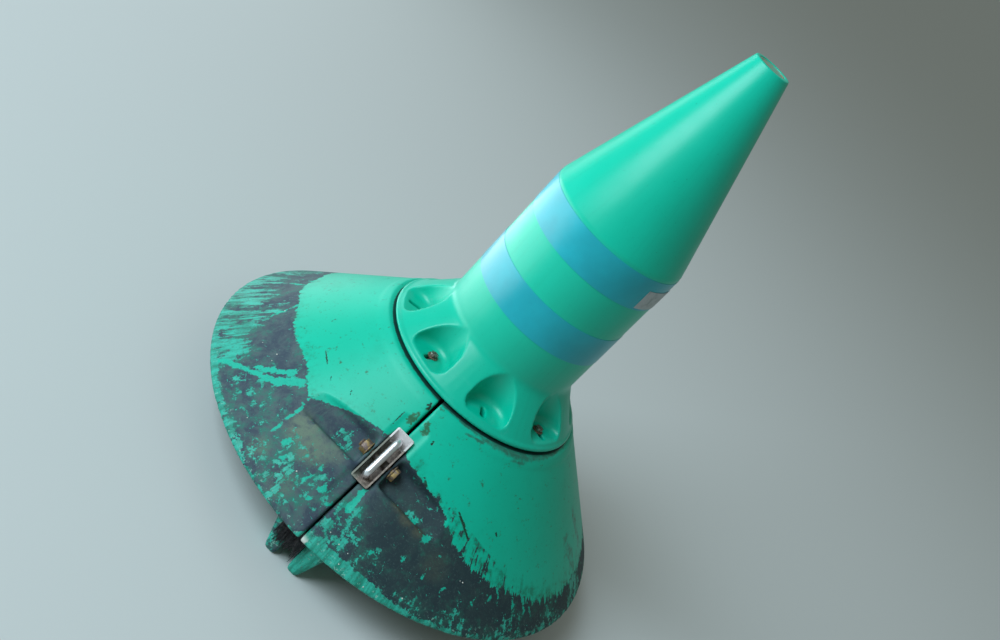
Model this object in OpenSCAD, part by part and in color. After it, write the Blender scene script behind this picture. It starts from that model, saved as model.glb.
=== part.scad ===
/* [Hull] */
// Diameter of the hull over its rim
hull_d = 1195; // [1115:5:1295]
// Height of the hull from its underside to the seat of the tower
hull_h = 315; // [290:1:350]
// Height above the underside at which the cone would meet the rim
rim_h = 9; // [9:0.5:30]
// Radius of the rounded rim
rim_round = 6; // [4:0.5:6]
// Radius of the flat seat on top of the hull
seat_r = 291; // [286:1:300]
// Width of the raised collar around the seat
collar_w = 18; // [12:1:26]
// Height of the raised collar over the cone
collar_h = 2; // [1:0.5:4]
// Width of the gap between the halves under the tower
gap_in = 8; // [5:0.5:10]
// Width of the gap between the halves at the rim
gap_out = 4; // [3:0.5:5]

/* [Feet] */
// Height of the moulded feet under the hull
foot_h = 118; // [105:1:130]
// Width of a foot where it stands
foot_w = 30; // [24:1:36]
// Width of a foot where it leaves the hull
foot_root_w = 62; // [50:1:80]
// Distance from the seam to the inner side of a foot
foot_in = 20; // [16:1:26]
// Length of a foot along the seam
foot_l = 130; // [90:1:180]
// Distance from the rim to the outer end of a foot
foot_inset = 42; // [30:1:70]
// Radius of the rounded edges of a foot
foot_round = 8; // [5:1:11]

/* [Tower] */
// Width of the flange at the foot of the tower, outside the tube
flange_out = 91; // [86:1:95]
// Width of the rebate that leaves a shadow line under the flange
rebate_w = 12; // [8:1:16]
// Height of that rebate
rebate_h = 5; // [3:0.5:7]
// Height of the rounded flange edge over the seat
flange_h = 19; // [17:1:24]
// Radius of the tube where the shoulder ends
tube_r = 190; // [184:1:194]
// Radius of the tube at the crease below the cone
crease_r = 188; // [183:1:190]
// Height of the shoulder over the seat
shoulder_h = 118; // [110:1:126]
// Radius of the soft corner between the shoulder and the tube
shoulder_round = 34; // [20:1:45]
// Height of the crease over the seat
crease_h = 524; // [515:1:560]
// Radius of the rounded crease
crease_round = 8; // [5:1:12]
// Height of the tower over the seat
tower_h = 1006; // [940:1:1080]
// Radius of the top of the cone
top_r = 47; // [44:1:56]

/* [Bolt pockets] */
// Number of pockets around the shoulder
pocket_n = 8; // [8]
// Turn of the tower against the seam of the hull, in degrees
tower_turn = -1.5; // [-4:0.5:4]
// Radius of a pocket
pocket_r = 60; // [54:1:62]
// Height of a pocket's floor over the seat
pocket_floor = 26; // [24:1:34]
// Radius of the rounded corner at the foot of a pocket's wall
pocket_round = 18; // [12:1:20]
// Distance from the tube out to the bolts that hold the tower
bolt_out = 37; // [35:1:42]
// Length of the slot in a pocket's floor, towards the axis
slot_l = 40; // [32:1:46]
// Distance from a bolt outwards to the middle of its slot
slot_shift = 8; // [4:1:10]

/* [Bands and label] */
// Height of the lower band's edge over the seat
band_z = 228; // [200:1:235]
// Width of each reflective band
band_w = 91; // [78:1:98]
// Pitch from one band to the next
band_pitch = 197; // [190:1:204]
// Thickness of a band
band_t = 0.8; // [0.5:0.1:2]
// Height of the blank label
label_h = 56; // [40:1:70]
// Distance from the upper band's lower edge up to the label
label_lift = 6; // [2:1:18]
// Angle that the label covers around the tube
label_a = 34; // [20:1:50]
// Direction of the label's middle
label_az = -17; // [-30:1:20]
// Thickness of the label
label_t = 0.7; // [0.5:0.1:2]

/* [Lifting brackets] */
// Distance from the rim in to the middle of a bracket
bracket_inset = 177.5; // [166:0.5:190]
// Length of a bracket along the slope
bracket_l = 153; // [138:1:162]
// Width of a bracket
bracket_w = 50; // [44:1:54]
// Thickness of a bracket's sheet
bracket_t = 4; // [3:0.5:5]
// Depth of a bracket's underside below the cone
bracket_depth = 34; // [33:0.5:37]
// Length of the sloping ramp at each end of a bracket
ramp_l = 26; // [18:1:32]
// Height of a bracket's edges over the cone
bracket_proud = 3; // [1:0.5:6]
// Diameter of the round lifting bar
bar_d = 18; // [14:1:18]
// Length of the lifting bar over its bends
bar_l = 122; // [112:1:128]
// Radius of the bar's bends, on its axis
bar_bend = 13; // [11:1:18]
// Height of the bar's axis over the cone
bar_z = 5; // [5:0.5:8]
// Gap between a bracket and its recess
recess_gap = 1; // [0.5:0.5:2]
// Width of the shallow step around a bracket
step_w = 74; // [66:1:86]
// Length of the shallow step along the slope
step_l = 255; // [220:1:280]
// Distance from the bracket's middle down to the step's middle
step_drop = 14; // [0:1:20]
// Depth of the shallow step
step_t = 5; // [3:0.5:7]

/* [Bolt troughs] */
// Distance from the bracket's middle up to a trough's upper edge
trough_up = 35.5; // [30:0.5:40]
// Distance from the bracket's middle down to a trough's lower edge
trough_down = 53; // [44:1:58]
// Lean of a trough's upper wall, in degrees
upper_lean = 29; // [10:1:32]
// Lean of a trough's lower wall, in degrees
lower_lean = 8; // [2:1:20]
// Depth of a trough below the cone at the seam
trough_t = 37; // [36:0.5:39]
// Distance from the seam to the wall that the bolt clamps
clamp_x = 36; // [34:0.5:40]
// Depth of the clamping bolt below the cone
clamp_z = 18; // [17:0.5:18.5]
// Distance from the bracket's middle down to the bolt
clamp_drop = 5; // [0:1:10]

/* [Fasteners] */
// Diameter of the clamping bolts
clamp_d = 20; // [16:1:20]
// Width across the flats of a clamping bolt's head and nut
clamp_af = 30; // [26:1:30]
// Height of a clamping bolt's head
clamp_head = 12.5; // [10:0.5:14]
// Height of a clamping bolt's nut
clamp_nut_h = 16; // [12:1:18]
// Diameter of a clamping bolt's washer
clamp_washer_d = 38; // [34:1:40]
// Thickness of a clamping bolt's washer
clamp_washer_t = 3; // [2:0.5:4]
// Length of thread that stands out of a nut
thread_out = 8; // [3:1:14]
// Diameter of the bolts that hold the tower and the mooring plate
bolt_d = 12; // [10:1:12]
// Width across the flats of their heads
bolt_af = 19; // [17:1:20]
// Height of their heads
head_h = 8; // [6:1:10]
// Diameter of their washers
washer_d = 28; // [24:1:30]
// Thickness of their washers
washer_t = 2.5; // [2:0.5:3]
// Depth that they reach into the hull
bolt_grip = 45; // [30:1:60]
// Radial clearance of a bolt in a drilled hole
hole_gap = 0.5; // [0.2:0.1:1]

/* [Mooring plate] */
// Length of the base plate along the seam
moor_l = 220; // [190:1:260]
// Width of the base plate across the seam
moor_w = 150; // [130:1:180]
// Thickness of the base plate
moor_t = 8; // [6:1:12]
// Thickness of the lug below the plate
lug_t = 14; // [10:1:20]
// Diameter of the shackle eye in the lug
eye_d = 32; // [26:1:36]
// Radius of the rounded lug around the eye
lug_r = 32; // [29:1:38]
// Height of the eye's centre over the ground
eye_z = 52; // [46:1:60]
// Width of the lug at the plate
lug_root_w = 130; // [110:1:150]
// Distance from a plate bolt to the plate's edge
moor_edge = 26; // [22:1:30]

/* [Top] */
// Radius of the plug in the top
plug_r = 36; // [30:1:38]
// Depth of the plug's seat
plug_seat = 4; // [3:0.5:6]
// Thickness of the plug
plug_t = 2.5; // [2:0.5:3]

/* [Hidden] */
$fn = 96;
fine = 180;              // sides of the large turned shapes

GREEN = [0.06, 0.66, 0.5];
TEAL = [0.07, 0.5, 0.6];
STEEL = [0.62, 0.6, 0.57];
RUST = [0.42, 0.26, 0.16];

hull_r = hull_d / 2;
seat_z = foot_h + hull_h;
hull_a = atan((hull_h - rim_h) / (hull_r - seat_r));
cut = 1;                 // how far a cutter runs past a face
far = 2 * hull_d;        // longer than anything on the buoy
above = hull_h;          // how far the cuts at a bracket reach out of the cone
bracket_c = hull_r - bracket_inset;
hole_r = bolt_d / 2 + hole_gap;
clamp_hole_r = clamp_d / 2 + hole_gap;
pocket_c = tube_r + pocket_r;
flange_r = tube_r + flange_out;
bolt_circle_r = tube_r + bolt_out;
skin_gap = 0.1;          // radial clearance between skins and what they cover
pocket_step = 360 / pocket_n;
pocket_first = tower_turn - 90 - pocket_step / 2;
bolt_turns = [for (i = [0 : 2 : pocket_n - 1]) pocket_first + i * pocket_step];
slot_turns = [for (i = [0 : pocket_n - 1]) pocket_first + i * pocket_step];

// Height of the cone's surface over the underside at a distance from the axis
function cone_z(r) = rim_h + (hull_r - r) * tan(hull_a);

// Points on an arc from one angle to another
function arc(c, r, a0, a1, n) =
    [for (i = [0 : n]) c + r * [cos(a0 + (a1 - a0) * i / n), sin(a0 + (a1 - a0) * i / n)]];

// Centre of the circle that touches two lines which meet at p, with unit directions u and v
function corner_centre(p, u, v, r) =
    let (half = acos(u * v) / 2, mid = (u + v) / norm(u + v)) p + mid * r / sin(half);

// Points that shape the tower: the top of the flange's edge, the shoulder, the crease and the top
lip_t = flange_h - rebate_h;
lip_in = flange_r - lip_t / 2;
shoulder = [tube_r, shoulder_h];
crease = [crease_r, crease_h];
to_lip = [lip_in - tube_r, flange_h - shoulder_h] / norm([lip_in - tube_r, flange_h - shoulder_h]);
to_crease = (crease - shoulder) / norm(crease - shoulder);
to_top = [top_r - crease_r, tower_h - crease_h] / norm([top_r - crease_r, tower_h - crease_h]);
hollow = corner_centre(shoulder, to_crease, to_lip, shoulder_round);
bend = corner_centre(crease, -to_crease, to_top, crease_round);

// Radius of the tube at a height over the seat
function tube_at(z) = tube_r + (z - shoulder_h) * to_crease[0] / to_crease[1];

// Frame on the cone at a bracket: X across the seam, Y up the slope, Z outwards
module on_cone(back) {
    rotate([0, 0, back ? 180 : 0])
        translate([0, -bracket_c, foot_h + cone_z(bracket_c)])
            rotate([hull_a, 0, 0]) children();
}

// Frame at the seat of the tower
module on_seat() { translate([0, 0, seat_z]) children(); }

module hex(h, af) { cylinder(h = h, r = af / 2 / cos(30), $fn = 6); }

module ring(h, d, bore_r) {
    difference() {
        cylinder(h = h, d = d);
        translate([0, 0, -cut]) cylinder(h = h + 2 * cut, r = bore_r);
    }
}

// Copies at the four bolts of the mooring plate
module at_plate_bolts(z) {
    for (x = [-1, 1], y = [-1, 1])
        translate([x * (moor_w / 2 - moor_edge), y * (moor_l / 2 - moor_edge), z]) children();
}

// Hull: the outline that is turned, then what each half keeps of it

module hull_outline() {
    fall = tan((90 - hull_a) / 2) * rim_round;
    collar_r = seat_r + collar_w;
    difference() {
        union() {
            polygon([[0, 0], [hull_r - rim_round, 0], [hull_r, rim_round], [hull_r, rim_h - fall],
                     [hull_r - fall * cos(hull_a), rim_h + fall * sin(hull_a)],
                     [collar_r, cone_z(collar_r)], [collar_r, cone_z(collar_r) + collar_h],
                     [seat_r + collar_h, hull_h], [0, hull_h]]);
            for (z = [rim_round, rim_h - fall]) translate([hull_r - rim_round, z]) circle(rim_round);
        }
        translate([-far, -far]) square([far, 2 * far]);
    }
}

// Plan of the half on the +X side, whose gap narrows towards the rim
module half_plan() {
    polygon([[gap_in / 2, -seat_r], [gap_in / 2, seat_r], [gap_out / 2, hull_r + cut],
             [hull_r + cut, hull_r + cut], [hull_r + cut, -hull_r - cut],
             [gap_out / 2, -hull_r - cut]]);
}

// Front view of a foot on the +X side, with its tip at height 0
module foot_outline() {
    x0 = foot_in;
    x1 = foot_in + foot_w;
    slope = [foot_root_w - foot_w, foot_h] / norm([foot_root_w - foot_w, foot_h]);
    c1 = corner_centre([x1, 0], [-1, 0], slope, foot_round);
    polygon([[x0 + foot_round, 0], [c1[0], 0], c1 + foot_round * [slope[1], -slope[0]],
             [x0 + foot_root_w, foot_h + cut], [x0, foot_h + cut], [x0, foot_round]]);
    translate([x0 + foot_round, foot_round]) circle(foot_round);
    translate(c1) circle(foot_round);
}

module feet() {
    for (side = [-1, 1])
        translate([0, side * (hull_r - foot_inset - foot_l / 2) + foot_l / 2, 0])
            rotate([90, 0, 0]) linear_extrude(foot_l) foot_outline();
}

// Side view of a bracket's pan, let out endways by a gap and as high as top
module pan_outline(gap, top) {
    half = bracket_l / 2 + gap;
    polygon([[-half, top], [-half, -bracket_t], [ramp_l - half, -bracket_depth],
             [half - ramp_l, -bracket_depth], [half, -bracket_t], [half, top]]);
}

// Side view of the space inside the pan, a sheet's thickness in from its outline
module pan_inside(top) {
    fall = bracket_depth - bracket_t;
    flat = bracket_l / 2 - ramp_l - bracket_t * (norm([ramp_l, fall]) - ramp_l) / fall;
    rise = (bracket_proud + fall) * ramp_l / fall;
    low = bracket_t - bracket_depth;
    polygon([[-flat - rise, bracket_proud], [-flat, low], [flat, low], [flat + rise, bracket_proud],
             [flat + rise, top], [-flat - rise, top]]);
}

// A side view carried across the seam
module across(w) { translate([-w / 2, 0, 0]) rotate([90, 0, 90]) linear_extrude(w) children(); }

// The hole for a clamping bolt, as far as x to each side of the seam
module clamp_hole(x) {
    translate([-x, -clamp_drop, -clamp_z]) rotate([0, 90, 0]) cylinder(h = 2 * x, r = clamp_hole_r);
}

// Side view of a bolt trough, whose walls lean outwards
module trough_outline() {
    polygon([[-trough_down - above * tan(lower_lean), above],
             [-trough_down + trough_t * tan(lower_lean), -trough_t],
             [trough_up - trough_t * tan(upper_lean), -trough_t],
             [trough_up + above * tan(upper_lean), above]]);
}

// Everything that is cut out of the cone around one bracket
module bracket_cuts() {
    across(bracket_w + 2 * recess_gap) pan_outline(recess_gap, above);
    translate([-step_w / 2, -step_drop - step_l / 2, -step_t]) cube([step_w, step_l, above]);
    for (side = [0, 1]) mirror([side, 0, 0])
        translate([clamp_x, 0, 0]) rotate([90, 0, 90]) linear_extrude(hull_r) trough_outline();
    clamp_hole(clamp_x + cut);
}

module hull_half() {
    difference() {
        union() {
            intersection() {
                translate([0, 0, foot_h]) rotate_extrude($fn = fine) hull_outline();
                linear_extrude(far) half_plan();
            }
            feet();
        }
        on_cone(false) bracket_cuts();
        on_cone(true) bracket_cuts();
        on_seat() for (a = bolt_turns) rotate([0, 0, a])
            translate([bolt_circle_r, 0, -bolt_grip - cut]) cylinder(h = bolt_grip + 2 * cut, r = hole_r);
        at_plate_bolts(foot_h - cut) cylinder(h = bolt_grip + 2 * cut, r = hole_r);
    }
}

// The bolt turns repeat every 90 degrees, so the other half is this one turned round
module hull_right() { color(GREEN) hull_half(); }
module hull_left() { color(GREEN) rotate([0, 0, 180]) hull_half(); }

// Tower: flange, shoulder with its bolt pockets, tube and cone

module tower_outline() {
    difference() {
        union() {
            polygon(concat(
                [[0, 0], [flange_r - rebate_w, 0], [flange_r - rebate_w, rebate_h],
                 [lip_in, rebate_h], [lip_in, flange_h]],
                arc(hollow, shoulder_round, 180 + atan2(to_lip[0], -to_lip[1]),
                    180 - atan2(to_crease[0], to_crease[1]), 5),
                [bend + crease_round * [to_crease[1], -to_crease[0]],
                 bend + crease_round * [to_top[1], -to_top[0]], [top_r, tower_h], [0, tower_h]]));
            translate([lip_in, rebate_h + lip_t / 2]) circle(lip_t / 2);
            translate(bend) circle(crease_round);
        }
        translate([-far, -far]) square([far, 2 * far]);
    }
}

// A round cutter that stands on the pocket's floor, with a rounded foot
module pocket_cutter() {
    rise = shoulder_h + shoulder_round - pocket_floor;
    rotate_extrude() union() {
        square([pocket_r - pocket_round, rise]);
        translate([0, pocket_round]) square([pocket_r, rise - pocket_round]);
        translate([pocket_r - pocket_round, pocket_round]) circle(pocket_round);
    }
}

module slot_cutter(depth) {
    reach = slot_l / 2 - hole_r;
    for (s = [-1, 1]) translate([s * reach, 0, 0]) cylinder(h = depth, r = hole_r);
    translate([-reach, -hole_r, 0]) cube([2 * reach, 2 * hole_r, depth]);
}

module tower() {
    color(GREEN) on_seat() difference() {
        rotate_extrude($fn = fine) tower_outline();
        for (a = slot_turns) rotate([0, 0, a]) {
            translate([pocket_c, 0, pocket_floor]) pocket_cutter();
            translate([bolt_circle_r + slot_shift, 0, -cut]) slot_cutter(pocket_floor + 2 * cut);
        }
        translate([0, 0, tower_h - plug_seat]) cylinder(h = plug_seat + cut, r = plug_r + skin_gap);
    }
}

// A skin around the tube between two heights over the seat
module skin(z0, z1, gap, t) {
    r0 = tube_at(z0) + gap;
    r1 = tube_at(z1) + gap;
    polygon([[r0, z0], [r0 + t, z0], [r1 + t, z1], [r1, z1]]);
}

module band(z0) { color(TEAL) on_seat() rotate_extrude($fn = fine) skin(z0, z0 + band_w, skin_gap, band_t); }
module band_lower() { band(band_z); }
module band_upper() { band(band_z + band_pitch); }

module label() {
    z0 = band_z + band_pitch + label_lift;
    color("lightgray") on_seat() rotate([0, 0, label_az - label_a / 2])
        rotate_extrude(angle = label_a, $fn = fine) skin(z0, z0 + label_h, band_t + 2 * skin_gap, label_t);
}

module top_plug() {
    color([0.4, 0.35, 0.25]) on_seat() translate([0, 0, tower_h - plug_seat]) cylinder(h = plug_t, r = plug_r);
}

// Lifting brackets: a pan with ramped ends in the recess, and a round bar bent down into it

module bracket(back) {
    color(STEEL) on_cone(back) difference() {
        across(bracket_w) pan_outline(0, bracket_proud);
        across(bracket_w - 2 * bracket_t) pan_inside(far);
        clamp_hole(bracket_w / 2 + cut);
    }
}
module bracket_front() { bracket(false); }
module bracket_back() { bracket(true); }

// The bar's legs are trimmed by the inside of the pan that they are welded to
module lift_bar(back) {
    leg_y = (bar_l - bar_d) / 2;
    straight = leg_y - bar_bend;
    color("silver") on_cone(back) intersection() {
        across(bracket_w) pan_inside(far);
        union() {
            translate([0, straight, bar_z]) rotate([90, 0, 0]) cylinder(h = 2 * straight, d = bar_d);
            for (side = [0, 1]) mirror([0, side, 0]) {
                translate([0, straight, bar_z - bar_bend]) rotate([90, 0, 90])
                    rotate_extrude(angle = 90) translate([bar_bend, 0]) circle(d = bar_d);
                translate([0, leg_y, -bracket_depth]) cylinder(h = bracket_depth + bar_z - bar_bend, d = bar_d);
            }
        }
    }
}
module lift_bar_front() { lift_bar(false); }
module lift_bar_back() { lift_bar(true); }

// Frame on the clamping bolt's axis at the seam, with Z towards its nut
module on_clamp(back) {
    on_cone(back) translate([0, -clamp_drop, -clamp_z]) rotate([0, -90, 0]) children();
}

module clamp_bolt(back) {
    under_head = -clamp_x - clamp_washer_t;
    color(RUST) on_clamp(back) {
        translate([0, 0, under_head - clamp_head]) hex(clamp_head, clamp_af);
        translate([0, 0, under_head - cut])
            cylinder(h = -2 * under_head + clamp_nut_h + thread_out + cut, d = clamp_d);
    }
}
module clamp_bolt_front() { clamp_bolt(false); }
module clamp_bolt_back() { clamp_bolt(true); }

module clamp_nut(back) {
    color(RUST) on_clamp(back) translate([0, 0, clamp_x + clamp_washer_t]) difference() {
        hex(clamp_nut_h, clamp_af);
        translate([0, 0, -cut]) cylinder(h = clamp_nut_h + 2 * cut, d = clamp_d + 2 * skin_gap);
    }
}
module clamp_nut_front() { clamp_nut(false); }
module clamp_nut_back() { clamp_nut(true); }

module clamp_washers(back) {
    color(STEEL) on_clamp(back) for (side = [0, 1]) mirror([0, 0, side])
        translate([0, 0, clamp_x]) ring(clamp_washer_t, clamp_washer_d, clamp_hole_r);
}
module clamp_washers_front() { clamp_washers(false); }
module clamp_washers_back() { clamp_washers(true); }

// A bolt that hangs down from its head, with the underside of the head at height 0
module set_bolt(grip) {
    hex(head_h, bolt_af);
    translate([0, 0, -grip]) cylinder(h = grip + cut, d = bolt_d);
}

module tower_bolts() {
    color(RUST) on_seat() for (a = bolt_turns) rotate([0, 0, a])
        translate([bolt_circle_r, 0, pocket_floor + washer_t])
            set_bolt(pocket_floor + washer_t + bolt_grip);
}

module tower_washers() {
    color(STEEL) on_seat() for (a = bolt_turns) rotate([0, 0, a])
        translate([bolt_circle_r, 0, pocket_floor]) ring(washer_t, washer_d, hole_r);
}

// Mooring plate under the hull, with the shackle eye on the axis

module lug_outline() {
    top = foot_h - moor_t / 2;
    dx = lug_root_w / 2;
    dz = top - eye_z;
    turn = atan2(dz, dx) - acos(lug_r / norm([dx, dz]));
    side = lug_r * [cos(turn), sin(turn)];
    polygon([[-dx, top], [-side[0], eye_z + side[1]], [0, eye_z], [side[0], eye_z + side[1]], [dx, top]]);
    translate([0, eye_z]) circle(lug_r);
}

module mooring_plate() {
    color(STEEL) difference() {
        union() {
            translate([-moor_w / 2, -moor_l / 2, foot_h - moor_t]) cube([moor_w, moor_l, moor_t]);
            translate([-lug_t / 2, 0, 0]) rotate([90, 0, 90]) linear_extrude(lug_t) lug_outline();
        }
        translate([-lug_t / 2 - cut, 0, eye_z]) rotate([0, 90, 0]) cylinder(h = lug_t + 2 * cut, d = eye_d);
        at_plate_bolts(foot_h - moor_t - cut) cylinder(h = moor_t + 2 * cut, r = hole_r);
    }
}

module mooring_bolts() {
    color(RUST) at_plate_bolts(foot_h - moor_t) mirror([0, 0, 1]) set_bolt(moor_t + bolt_grip);
}

hull_left();
hull_right();
tower();
band_lower();
band_upper();
label();
top_plug();
bracket_front();
bracket_back();
lift_bar_front();
lift_bar_back();
clamp_bolt_front();
clamp_bolt_back();
clamp_nut_front();
clamp_nut_back();
clamp_washers_front();
clamp_washers_back();
tower_bolts();
tower_washers();
mooring_plate();
mooring_bolts();
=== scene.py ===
import math
import random

import bmesh
import bpy
from mathutils import Matrix, Vector


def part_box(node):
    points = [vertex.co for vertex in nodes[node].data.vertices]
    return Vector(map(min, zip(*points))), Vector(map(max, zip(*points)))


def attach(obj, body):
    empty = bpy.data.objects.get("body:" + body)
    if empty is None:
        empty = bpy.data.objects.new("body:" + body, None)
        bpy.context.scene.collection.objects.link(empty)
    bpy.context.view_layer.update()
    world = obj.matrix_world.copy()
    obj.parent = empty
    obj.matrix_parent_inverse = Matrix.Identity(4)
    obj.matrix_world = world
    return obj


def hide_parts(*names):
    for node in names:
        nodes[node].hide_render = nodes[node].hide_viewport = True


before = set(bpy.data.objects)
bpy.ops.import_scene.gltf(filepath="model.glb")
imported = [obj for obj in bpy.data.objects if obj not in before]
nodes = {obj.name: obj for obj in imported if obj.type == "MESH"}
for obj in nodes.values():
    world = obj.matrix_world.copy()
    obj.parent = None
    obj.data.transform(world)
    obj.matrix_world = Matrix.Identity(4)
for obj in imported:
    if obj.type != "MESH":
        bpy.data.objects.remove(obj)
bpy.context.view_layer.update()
MM = 0.001

# Sizes and places, from the frame where it has them

rim_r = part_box("hull_right")[1].y
tower_low, tower_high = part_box("tower")
seat_z = tower_low.z
foot_h = 118 * MM
rim_h = 9 * MM
seat_r = 291 * MM
slope = math.atan((seat_z - foot_h - rim_h) / (rim_r - seat_r))
bracket_r = rim_r - 177.5 * MM
bracket_z = foot_h + rim_h + (rim_r - bracket_r) * math.tan(slope)
flange_r = tower_high.x
clamp_drop, clamp_depth = 5 * MM, 18 * MM
trough_low, trough_high = -53 * MM, 35.5 * MM
bolt_d, bolt_af, bolt_head = 12 * MM, 19 * MM, 8 * MM
TOUCHING = 1e-6


def on_cone(side="front"):
    """The frame of a lifting bracket: X across the seam, Y up the slope, Z out of the hull."""
    turn = Matrix.Rotation(math.pi if side == "back" else 0, 4, "Z")
    return turn @ Matrix.Translation((0, -bracket_r, bracket_z)) @ Matrix.Rotation(slope, 4, "X")


# Shader maths

class Wire:
    """A socket that sums, products and comparisons can be written with."""

    def __init__(self, paint, socket):
        self.paint = paint
        self.socket = socket

    def __add__(self, other):
        return self.paint.math("ADD", self, other)

    def __radd__(self, other):
        return self.paint.math("ADD", other, self)

    def __sub__(self, other):
        return self.paint.math("SUBTRACT", self, other)

    def __rsub__(self, other):
        return self.paint.math("SUBTRACT", other, self)

    def __mul__(self, other):
        return self.paint.math("MULTIPLY", self, other)

    def __rmul__(self, other):
        return self.paint.math("MULTIPLY", other, self)

    def __neg__(self):
        return self.paint.math("MULTIPLY", self, -1)


class Paint:
    """The node tree of one finish."""

    def __init__(self, name):
        self.material = bpy.data.materials.new(name)
        self.material.use_nodes = True
        self.tree = self.material.node_tree
        self.tree.nodes.clear()
        self.place = self.node("ShaderNodeTexCoord", out="Object")
        split = self.node("ShaderNodeSeparateXYZ", {}, {0: self.place}, out=None)
        self.x, self.y, self.z = (Wire(self, split.outputs[i]) for i in range(3))

    def node(self, kind, settings=None, sockets=None, out=0):
        made = self.tree.nodes.new(kind)
        for key, value in (settings or {}).items():
            setattr(made, key, value)
        for key, value in (sockets or {}).items():
            if isinstance(value, Wire):
                self.tree.links.new(value.socket, made.inputs[key])
            elif value is not None:
                made.inputs[key].default_value = value
        return made if out is None else Wire(self, made.outputs[out])

    def math(self, operation, a, b=None):
        return self.node("ShaderNodeMath", {"operation": operation}, {0: a, 1: b})

    def mix(self, share, a, b):
        """Mixes two colours; sockets 6 and 7 and output 2 are the node's own for colours."""
        sockets = {0: share, 6: colour4(a), 7: colour4(b)}
        return self.node("ShaderNodeMix", {"data_type": "RGBA"}, sockets, out=2)

    def vector(self, x, y):
        return self.node("ShaderNodeCombineXYZ", {}, {0: x, 1: y})

    def turn(self):
        """The angle round the axis from the front seam."""
        return self.math("ARCTAN2", self.x, -self.y)

    def step(self, value, low, high):
        """0 below low, 1 above high, smooth between; low may be above high."""
        sockets = {0: value, 1: low, 2: high, 3: 0.0, 4: 1.0}
        return self.node("ShaderNodeMapRange", {"interpolation_type": "SMOOTHSTEP"}, sockets)

    def noise(self, scale, detail=4, rough=0.5, place=None, warp=0.0):
        sockets = {"Vector": place or self.place, "Scale": scale, "Detail": detail, "Roughness": rough,
                   "Distortion": warp}
        return self.node("ShaderNodeTexNoise", {}, sockets)

    def cell_edges(self, place):
        """The distance from the edges of the cells that a place falls among."""
        sockets = {"Vector": place, "Scale": 1}
        return self.node("ShaderNodeTexVoronoi", {"feature": "DISTANCE_TO_EDGE"}, sockets)

    def field(self, name):
        """A value that the mesh carries at its vertices."""
        return self.node("ShaderNodeAttribute", {"attribute_name": name}, out="Fac")

    def bump(self, height, strength, distance, under=None):
        sockets = {"Height": height, "Strength": strength, "Distance": distance, "Normal": under}
        return self.node("ShaderNodeBump", {}, sockets)

    def finish(self, colour, rough, metal=0.0, normal=None, gloss=0.5):
        sockets = {"Base Color": colour4(colour), "Roughness": rough, "Metallic": metal, "Normal": normal,
                   "Specular IOR Level": gloss}
        shader = self.node("ShaderNodeBsdfPrincipled", {}, sockets)
        self.node("ShaderNodeOutputMaterial", {}, {0: shader}, out=None)
        return self.material


def colour4(value):
    return (*value, 1) if isinstance(value, tuple) and len(value) == 3 else value


# Dirt and wear of the hull: degrees round from the front seam, mm over its underside, widths in mm

# How high the growth reaches, by degrees
GROWTH_LINE = ((-180, 80), (-140, 90), (-110, 105), (-95, 135), (-80, 134), (-70, 149), (-60, 150),
               (-50, 156), (-40, 165), (-35, 158), (-29, 148), (-25, 162), (-20, 184), (-15, 203),
               (-8, 216), (0, 222), (6, 214), (12, 200), (21, 180), (29, 160), (36, 131), (45, 107),
               (57, 90), (68, 68), (80, 60), (90, 62), (100, 62), (140, 70), (180, 80))
# How worn the rim is, and how wide that strip is, by degrees
RIM_WEAR = ((-180, 0.7), (-100, 0.7), (-60, 0.8), (-22, 0.78), (-12, 0.6), (-2, 0.5), (1, 1.3), (14, 1.25),
            (30, 0.8), (45, 0.6), (100, 0.55), (180, 0.7))
RIM_WIDE = ((-180, 26), (-60, 26), (-25, 24), (-15, 13), (-2, 10), (1, 34), (14, 30), (30, 18), (45, 20),
            (180, 26))
# Round spots of wear, and of olive dirt: place, radius, strength
WEAR = ((-108, 50, 90, 0.52), (-100, 50, 110, 0.57), (-88, 30, 120, 0.62), (-75, 40, 120, 0.68),
        (-63, 50, 110, 0.66), (-52, 45, 80, 0.70), (-68, 110, 60, 0.42), (-40, 60, 110, 0.38),
        (-30, 50, 120, 0.36), (-15, 50, 140, 0.44), (-6, 80, 80, 0.48), (5, 50, 90, 0.48),
        (4, 90, 45, 0.55), (14, 35, 90, 0.40), (28, 20, 80, 0.41), (40, 15, 90, 0.44), (58, 20, 90, 0.44),
        (75, 20, 80, 0.46), (92, 30, 90, 0.62), (-13, 182, 46, 0.56), (-36, 128, 30, 0.52),
        (18, 160, 30, 0.36))
OLIVE = ((-21, 118, 60, 0.9), (-14, 112, 60, 0.8), (-10, 135, 40, 0.6), (-22, 40, 40, 0.5),
         (-12, 40, 50, 0.4), (13, 152, 30, 0.9), (17, 142, 32, 0.9), (21, 134, 28, 0.7), (30, 95, 50, 0.25))
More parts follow.
